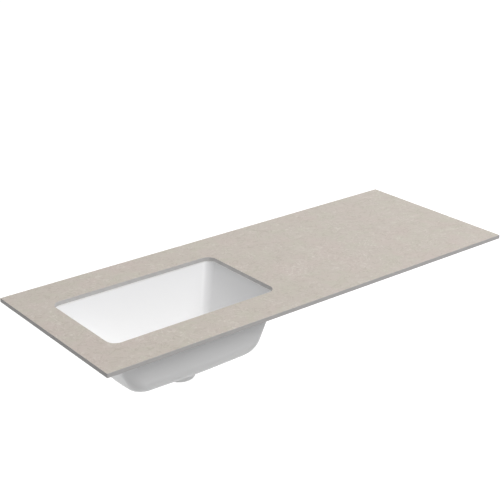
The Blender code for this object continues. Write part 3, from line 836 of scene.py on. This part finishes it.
def bowl_outlines(grow, floor_depth, fillet, first_depth, wall_steps=6, turn_steps=14):
    """Rings down the bowl's wall and round its fillet, inside or, grown by the wall, outside."""
    basin = settings("basin")
    radius = settings("slab").opening_radius + grow
    turn_depth = floor_depth - fillet
    depths = [first_depth + (turn_depth - first_depth) * step / wall_steps for step in range(wall_steps)]
    depths += [turn_depth + fillet * sin(pi / 2 * step / turn_steps)
               for step in range(turn_steps + 1)]
    rings = []
    for depth in depths:
        insets = [wall_inset(depth, draft, floor_depth, fillet)
                  for draft in (basin.side_draft, basin.front_draft, basin.back_draft)]
        ring = rounded_outline(grow, radius + basin.corner_growth * depth, BASIN_HIGH.z - depth, *insets)
        rings.append(lifted(ring, depth / floor_depth))
    return rings


def floor_outlines(outline, radius, floor_z):
    """Rings on the falling floor, from the bowl's outline to a circle round the outlet."""
    steps = settings("basin").floor_steps
    circle = circle_outline(radius, 0)
    rings = []
    for step in range(1, steps + 1):
        ring = [edge.lerp(inner, step / steps) for edge, inner in zip(outline, circle)]
        rings.append(lifted([Vector((*point.xy, floor_z)) for point in ring]))
    return rings


class VANITY_OT_slab(Operator):
    """Model the stone slab with its cut-out, eased edges and blind anchor holes"""
    bl_idname = "vanity.slab"
    bl_label = "Stone Slab"

    def execute(self, context):
        slab = settings("slab")
        bm = loft((
            opening_outline(0, SLAB_HIGH.z),
            slab_outline(SLAB_HIGH.z),
            slab_outline(SLAB_LOW.z),
            opening_outline(0, SLAB_LOW.z),
        ), closed=True)
        round_edges(bm, edges_at(sharp_edges(bm), 2, SLAB_LOW.z), slab.under_arris, 2)
        round_edges(bm, edges_at(sharp_edges(bm), 2, SLAB_HIGH.z), slab.arris, 3)
        for corner in CORNERS:
            low, high, radius = round_box("clip_anchor_" + corner)
            bm = carve(bm, turned_solid((
                (radius + slab.anchor_gap, high.z + slab.anchor_gap),
                (radius + slab.anchor_gap, SLAB_LOW.z - slab.arris),
            ), (low + high) / 2, 32))
        bm.normal_update()
        middle = (SLAB_LOW.z + SLAB_HIGH.z) / 2
        for face in bm.faces:
            decor = face.normal.z > FACING_UP and face.calc_center_median().z > middle
            face.material_index = 0 if decor else 1
        place_piece("stone_slab", "countertop_slab", bm, "stone", "core")
        return {"FINISHED"}


class VANITY_OT_basin(Operator):
    """Model the glazed basin: rim, leaning walls, falling floor, outlet and boss"""
    bl_idname = "vanity.basin"
    bl_label = "Ceramic Basin"

    def execute(self, context):
        basin = settings("basin")
        rim_z = BASIN_HIGH.z
        floor_z = rim_z - basin.depth
        recess_z = floor_z - basin.recess_depth
        under_z = floor_z - basin.floor
        boss_z = BASIN_LOW.z
        pocket_z = boss_z + basin.pocket_depth
        foot_z = rim_z - basin.rim_thickness
        rim_reach = (BASIN_HIGH.x - BASIN_LOW.x - settings("slab").opening_length) / 2
        rings = quarter_round(opening_outline, basin.lip_ease, 0, rim_z, -1, 1)[::-1]
        rings += bowl_outlines(0, basin.depth, basin.fillet, basin.lip_ease * 2)
        rings += floor_outlines(rings[-1], basin.recess_radius + basin.recess_ease, floor_z)
        edge = quarter_round(circle_outline, basin.recess_ease, basin.recess_radius, floor_z, -1, 1)
        rings += [lifted(ring) for ring in edge[-2::-1]]
        rings += [circle_outline(radius, z) for radius, z in (
            (basin.recess_radius, recess_z),
            (basin.hole_radius, recess_z),
            (basin.hole_radius, pocket_z),
            (basin.pocket_radius, pocket_z),
            (basin.pocket_radius, boss_z),
        )]
        rings += quarter_round(circle_outline, basin.boss_ease, basin.boss_radius, boss_z, 1, -1)[::-1]
        root = quarter_round(circle_outline, basin.boss_root, basin.boss_radius, under_z, -1, 1)
        rings += [lifted(ring) for ring in root[:-1]]
        outer = bowl_outlines(basin.wall, basin.depth + basin.floor, basin.fillet + basin.floor,
                              basin.rim_thickness + basin.rim_root)
        outer += floor_outlines(outer[-1], basin.boss_radius + basin.boss_root, under_z)
        rings += outer[::-1]
        rings += quarter_round(opening_outline, basin.rim_root, basin.wall, foot_z, -1, 1)[1:]
        rings += quarter_round(opening_outline, basin.rim_ease, rim_reach, foot_z, 1, -1)[::-1]
        rings += quarter_round(opening_outline, basin.rim_ease, rim_reach, rim_z, 1, 1)
        place_piece("ceramic_basin", "basin", loft(rings, closed=True), "ceramic")
        return {"FINISHED"}


class VANITY_OT_sealant(Operator):
    """Model the silicone bead between the slab and the basin's rim, with hollow sides"""
    bl_idname = "vanity.sealant"
    bl_label = "Sealant Bead"

    def execute(self, context):
        slab = settings("slab")
        outer = (BEAD_HIGH.x - BEAD_LOW.x - slab.opening_length) / 2
        top = SLAB_LOW.z - slab.bead_squeeze
        foot = BASIN_HIGH.z + slab.bead_squeeze
        steps = 6
        sides = [((top - foot) * step / steps, slab.bead_hollow * sin(pi * step / steps))
                 for step in range(steps + 1)]
        rings = [opening_outline(slab.bead_setback + hollow, top - down) for down, hollow in sides]
        rings += [opening_outline(outer - hollow, foot + up) for up, hollow in sides]
        place_piece("silicone_bead", "sealant_bead", loft(rings, closed=True), "sealant")
        return {"FINISHED"}


def clip_plate(low, high, stud):
    """A bent plate: its toe is under the rim, its heel turns up to the slab, a slot takes the stud."""
    fixing = settings("fixings")
    outward = copysign(1, stud.y)
    toe_y, heel_y = (low.y, high.y) if outward > 0 else (high.y, low.y)
    inner_y = heel_y - outward * fixing.plate
    top = low.z + fixing.plate
    outline = eased((
        (toe_y, top),
        (toe_y, low.z),
        (heel_y, low.z, fixing.plate + fixing.bend),
        (heel_y, high.z),
        (inner_y, high.z),
        (inner_y, top, fixing.bend),
    ), steps=8)
    bm = bmesh.new()
    side = bm.faces.new([bm.verts.new((low.x, point.x, point.y)) for point in outline])
    pull(bm, [side], (high.x - low.x, 0, 0))
    corners = edges_along(edges_at(bm.edges, 1, toe_y), 2)
    corners += edges_along(edges_at(bm.edges, 2, high.z), 1)
    round_edges(bm, corners, fixing.corner, 6)
    count = 32
    slot = []
    for z in (low.z - fixing.plate, top + fixing.plate):
        ring = []
        for index in range(count):
            angle = tau * (index + 0.5) / count
            end = copysign(fixing.slot_half, sin(angle))
            ring.append(at_angle(stud.x, stud.y + end, fixing.stud_bore, angle, z))
        slot.append(ring)
    bm = carve(bm, loft(slot, closed=False))
    round_edges(bm, sharp_edges(bm), fixing.ease, 2)
    return bm


class VANITY_OT_clips(Operator):
    """Model the four bent rim clips, their rubber pads and the anchors bonded into the slab"""
    bl_idname = "vanity.clips"
    bl_label = "Rim Clips"

    def execute(self, context):
        fixing = settings("fixings")
        ease = fixing.ease
        ribs = 4
        for corner in CORNERS:
            anchor_low, anchor_high, radius = round_box("clip_anchor_" + corner)
            stud = (anchor_low + anchor_high) / 2
            low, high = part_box("rim_clip_" + corner)
            plate = clip_plate(low, high, stud)
            place_piece("bent_clip_" + corner, "rim_clip_" + corner, plate, "steel")

            pad = block(*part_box("clip_pad_" + corner))
            round_edges(pad, edges_along(pad.edges, 2), fixing.pad_corner, 4)
            round_edges(pad, sharp_edges(pad), ease, 3)
            place_piece("rubber_pad_" + corner, "clip_pad_" + corner, pad, "rubber")

            rise = (anchor_high.z - anchor_low.z) / ribs
            profile = [(fixing.stud_bore, anchor_high.z, ease), (fixing.stud_bore, anchor_low.z, ease)]
            for rib in range(ribs):
                foot = anchor_low.z + rise * rib
                profile += [(radius - ease, foot), (radius, foot + ease), (radius, foot + rise - ease)]
            profile.append((radius - ease, anchor_high.z))
            anchor = turned(profile, stud, 48)
            place_piece("brass_anchor_" + corner, "clip_anchor_" + corner, anchor, "brass")
        return {"FINISHED"}


class VANITY_OT_studs(Operator):
    """Model the four threaded studs with their washers and hexagon nuts"""
    bl_idname = "vanity.studs"
    bl_label = "Studs, Washers and Nuts"

    def execute(self, context):
        fixing = settings("fixings")
        bore = fixing.stud_bore
        for corner in CORNERS:
            low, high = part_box("clip_stud_" + corner)
            centre = (low + high) / 2
            rod = threaded_rod(low.z, high.z, fixing.stud_radius, fixing.stud_pitch, centre)
            place_piece("threaded_stud_" + corner, "clip_stud_" + corner, rod, "steel")

            washer = flat_ring("clip_washer_" + corner, bore, fixing.ease, fixing.ease / 2, centre, 48)
            place_piece("flat_washer_" + corner, "clip_washer_" + corner, washer, "steel")

            nut = hexagon_nut("clip_nut_" + corner, centre, bore, fixing.ease)
            place_piece("hexagon_nut_" + corner, "clip_nut_" + corner, nut, "steel")
        return {"FINISHED"}


class VANITY_OT_waste(Operator):
    """Model the waste: flanged and threaded body with its cross-bars, two seals and the lock nut"""
    bl_idname = "vanity.waste"
    bl_label = "Basin Waste"

    def execute(self, context):
        waste = settings("waste")
        ease = settings("fixings").ease
        radius = (WASTE_HIGH.x - WASTE_LOW.x) / 2
        top = WASTE_HIGH.z
        foot = top - waste.flange
        tail_foot = WASTE_LOW.z
        overlap = waste.pitch
        body = threaded_rod(tail_foot, foot + overlap / 2, waste.tail, waste.pitch, OUTLET, steps=64)
        body = carve(body, turned_solid((
            (radius, top, waste.lip),
            (radius, foot, ease),
            (waste.tail, foot),
            (waste.tail, foot - overlap * 2),
        )), "UNION")
        body = carve(body, turned_solid((
            (waste.bore + ease * 2, tail_foot - ease),
            (waste.bore, tail_foot + ease),
            (waste.bore, top - waste.seat_drop, waste.lip),
            (waste.seat_radius, top),
            (waste.seat_radius + ease, top + ease),
        )))
        hub_top = top - waste.hub_drop
        hub_foot = hub_top - waste.hub_height
        hub = turned_solid(((waste.hub, hub_top, ease), (waste.hub, hub_foot, ease)), steps=64)
        body = carve(body, hub, "UNION")
        reach = (waste.bore + waste.tail) / 2
        for along, across in ((reach, waste.bar / 2), (waste.bar / 2, reach)):
            bar = block(OUTLET + Vector((-along, -across, hub_foot + ease)),
                        OUTLET + Vector((along, across, hub_top - ease)))
            round_edges(bar, bar.edges[:], ease, 3)
            body = carve(body, bar, "UNION")
        body = carve(body, countersunk(waste.hub_bore, hub_foot, hub_top, ease, steps=64))
        place_piece("flanged_waste", "waste_body", body, "chrome")

        for where, hole in (("upper", settings("basin").hole_radius), ("lower", waste.tail + waste.fit)):
            node = "waste_" + where + "_seal"
            place_piece("ring_seal_" + where, node, flat_ring(node, hole, ease, ease), "rubber")

        nut = hexagon_nut("waste_lock_nut", OUTLET, waste.tail + waste.fit, ease)
        place_piece("hexagon_lock_nut", "waste_lock_nut", nut, "brass")
        return {"FINISHED"}


class VANITY_OT_plug(Operator):
    """Model the plug's domed cap and its gasket"""
    bl_idname = "vanity.plug"
    bl_label = "Plug"

    def execute(self, context):
        waste = settings("waste")
        fixing = settings("fixings")
        ease = fixing.ease
        low, high, radius = round_box("plug_cap")
        shoulder = high.z - waste.cap_dome
        foot = shoulder - waste.cap_edge
        skirt_foot = foot - waste.skirt_drop
        skirt_inner = waste.skirt - waste.cap_edge
        hole_top = high.z - waste.cap_skin
        profile = [
            (0, hole_top),
            (fixing.stud_bore, hole_top),
            (fixing.stud_bore, low.z, ease),
            (waste.cap_boss, low.z, ease),
            (waste.cap_boss, foot, ease),
            (skirt_inner, foot, ease),
            (skirt_inner, skirt_foot, ease),
            (waste.skirt, skirt_foot, ease),
            (waste.skirt, foot),
            (radius, foot, ease),
            (radius, shoulder, waste.cap_round),
        ]
        rings = 12
        for ring in range(rings - 1, -1, -1):
            along = ring / rings
            profile.append((radius * along, high.z - waste.cap_dome * along * along))
        cap = turned(profile, steps=128, closed=False)
        place_piece("domed_cap", "plug_cap", cap, "chrome", body=BODY_PLUG)

        low, high, outer = round_box("plug_gasket")
        inner = waste.skirt + waste.fit
        slope = waste.seat_drop / (waste.seat_radius - waste.bore)
        gasket = turned((
            (inner, high.z, ease),
            (inner, low.z, ease / 2),
            (outer, low.z + slope * (outer - inner), ease / 2),
            (outer, high.z, ease),
        ))
        place_piece("plug_seal", "plug_gasket", gasket, "rubber", body=BODY_PLUG)
        return {"FINISHED"}


class VANITY_OT_click(Operator):
    """Model the click spring and dress the rest of the mechanism"""
    bl_idname = "vanity.click"
    bl_label = "Click Mechanism"

    def execute(self, context):
        waste = settings("waste")
        low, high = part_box("click_spring")
        wire = coil(low, high, waste.spring_wire, waste.spring_turns)
        spring = make_piece("coil_spring", "click_spring", wire, "steel")
        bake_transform(spring)
        for node in ("click_housing", "click_ratchet", "plug_plunger"):
            dress_node(node, "plastic")
        dress_node("plug_stem", "brass")
        return {"FINISHED"}


def add_lamp(name):
    """A soft square lamp aimed at the top's middle; its level is what it adds to a white face."""
    stage = settings("stage")
    level, turn, rise = (getattr(stage, name + part) for part in ("", "_turn", "_rise"))
    data = bpy.data.lights.new(name + "_lamp", "AREA")
    data.shape = "SQUARE"
    data.size = stage.lamp_size
    data.energy = level * (pi * stage.lamp_distance) ** 2
    lamp = link(name + "_lamp", data)
    away = Vector((sin(turn) * cos(rise), -cos(turn) * cos(rise), sin(rise)))
    lamp.location = (CAD_LOW + CAD_HIGH) / 2 + away * stage.lamp_distance
    lamp.rotation_euler = away.to_track_quat("Z", "Y").to_euler()
    lamp.visible_camera = False


def floor_material():
    """Pale floor, white to the camera, clear from below."""
    net = Finish("studio floor")
    net.finish(net.shade("studio"), 0.9, specular=0.1)
    matt = Wire(net, net.tree.nodes["Principled BSDF"].outputs["BSDF"])
    strength = net.background_rays() * settings("stage").floor_glow
    glow = net.node("Emission", {"Color": WHITE, "Strength": strength})
    lit = net.node("AddShader", {0: matt, 1: glow})
    behind = net.node("NewGeometry", {}, output="Backfacing")
    net.surface("Material Output", behind, lit, net.node("BsdfTransparent", {}))
    return net.material


class VANITY_OT_stage(Operator):
    """Set up the pale studio: floor, world, key, side and fill lamps, and the camera"""
    bl_idname = "vanity.stage"
    bl_label = "Studio"

    def execute(self, context):
        stage = settings("stage")
        bm = bmesh.new()
        bmesh.ops.create_grid(bm, x_segments=8, y_segments=8, size=stage.floor_size / 2,
                              matrix=Matrix.Translation((0, 0, stage.floor_z)))
        ground = link_mesh("studio_floor", bm)
        ground.data.materials.append(floor_material())

        world = bpy.data.worlds.new("studio")
        context.scene.world = world
        world.use_nodes = True
        net = Net(world.node_tree)
        even, white = (net.node("Background", {"Color": WHITE, "Strength": strength})
                       for strength in (stage.world, 1.0))
        net.surface("World Output", net.background_rays(), even, white)

        for name in ("key", "side", "fill"):
            add_lamp(name)

        data = bpy.data.cameras.new("camera")
        data.lens = stage.lens
        camera = link("camera", data)
        camera.location = stage.camera_place
        camera.rotation_euler = (pi / 2 - stage.camera_tilt, 0, stage.camera_turn)
        context.scene.camera = camera
        context.scene.view_settings.view_transform = "Standard"
        return {"FINISHED"}


OPERATORS = (
    VANITY_OT_slab,
    VANITY_OT_basin,
    VANITY_OT_sealant,
    VANITY_OT_clips,
    VANITY_OT_studs,
    VANITY_OT_waste,
    VANITY_OT_plug,
    VANITY_OT_click,
    VANITY_OT_stage,
)
GROUPS = {
    "slab": SlabSizes,
    "basin": BasinSizes,
    "fixings": FixingSizes,
    "waste": WasteSizes,
    "finishes": Finishes,
    "stage": StageSizes,
}


class VANITY_PT_panel(Panel):
    """Sizes, colours and pieces of the vanity top"""
    bl_idname = "VANITY_PT_panel"
    bl_label = "Vanity Top"
    bl_space_type = "VIEW_3D"
    bl_region_type = "UI"
    bl_category = "Vanity Top"

    def draw(self, context):
        for operator in OPERATORS:
            self.layout.operator(operator.bl_idname)
        for name, group in GROUPS.items():
            box = self.layout.box()
            box.label(text=name.title())
            for key in group.__annotations__:
                box.prop(settings(name), key)


CLASSES = (*GROUPS.values(), *OPERATORS, VANITY_PT_panel)


def register():
    for kind in CLASSES:
        bpy.utils.register_class(kind)
    for name, group in GROUPS.items():
        setattr(bpy.types.Scene, "vanity_" + name, PointerProperty(type=group))


def unregister():
    for name in GROUPS:
        delattr(bpy.types.Scene, "vanity_" + name)
    for kind in reversed(CLASSES):
        bpy.utils.unregister_class(kind)


def main():
    register()
    bpy.ops.vanity.slab()
    bpy.ops.vanity.basin()
    bpy.ops.vanity.sealant()
    bpy.ops.vanity.clips()
    bpy.ops.vanity.studs()
    bpy.ops.vanity.waste()
    bpy.ops.vanity.plug()
    bpy.ops.vanity.click()
    bpy.ops.vanity.stage()


if __name__ == "__main__":
    main()
